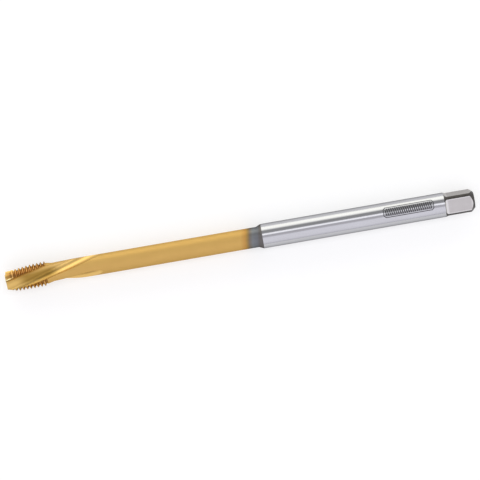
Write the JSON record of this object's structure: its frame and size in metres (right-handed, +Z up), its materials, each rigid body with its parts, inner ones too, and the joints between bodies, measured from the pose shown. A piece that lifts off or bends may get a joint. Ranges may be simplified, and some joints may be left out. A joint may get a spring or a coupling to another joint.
{
  "type": "thread tap",
  "caption": "Long-reach machine tap with left-hand flutes, slim neck, plain shank and driving square, lying on its side; cuts M10 x 1.5 in through holes.",
  "frame": {"origin": "below the middle of the tool's length, on the surface that it lies on", "axes": "+X along the tool's axis from the cutting end to the driving square, +Z up"},
  "size_m": [0.192, 0.01, 0.01],
  "materials": {
    "tool_steel": "ground, with a gold coating on the cutting end and neck"
  },
  "bodies": {
    "root": {"thread_tap": "tool_steel"}
  },
  "joints": []
}
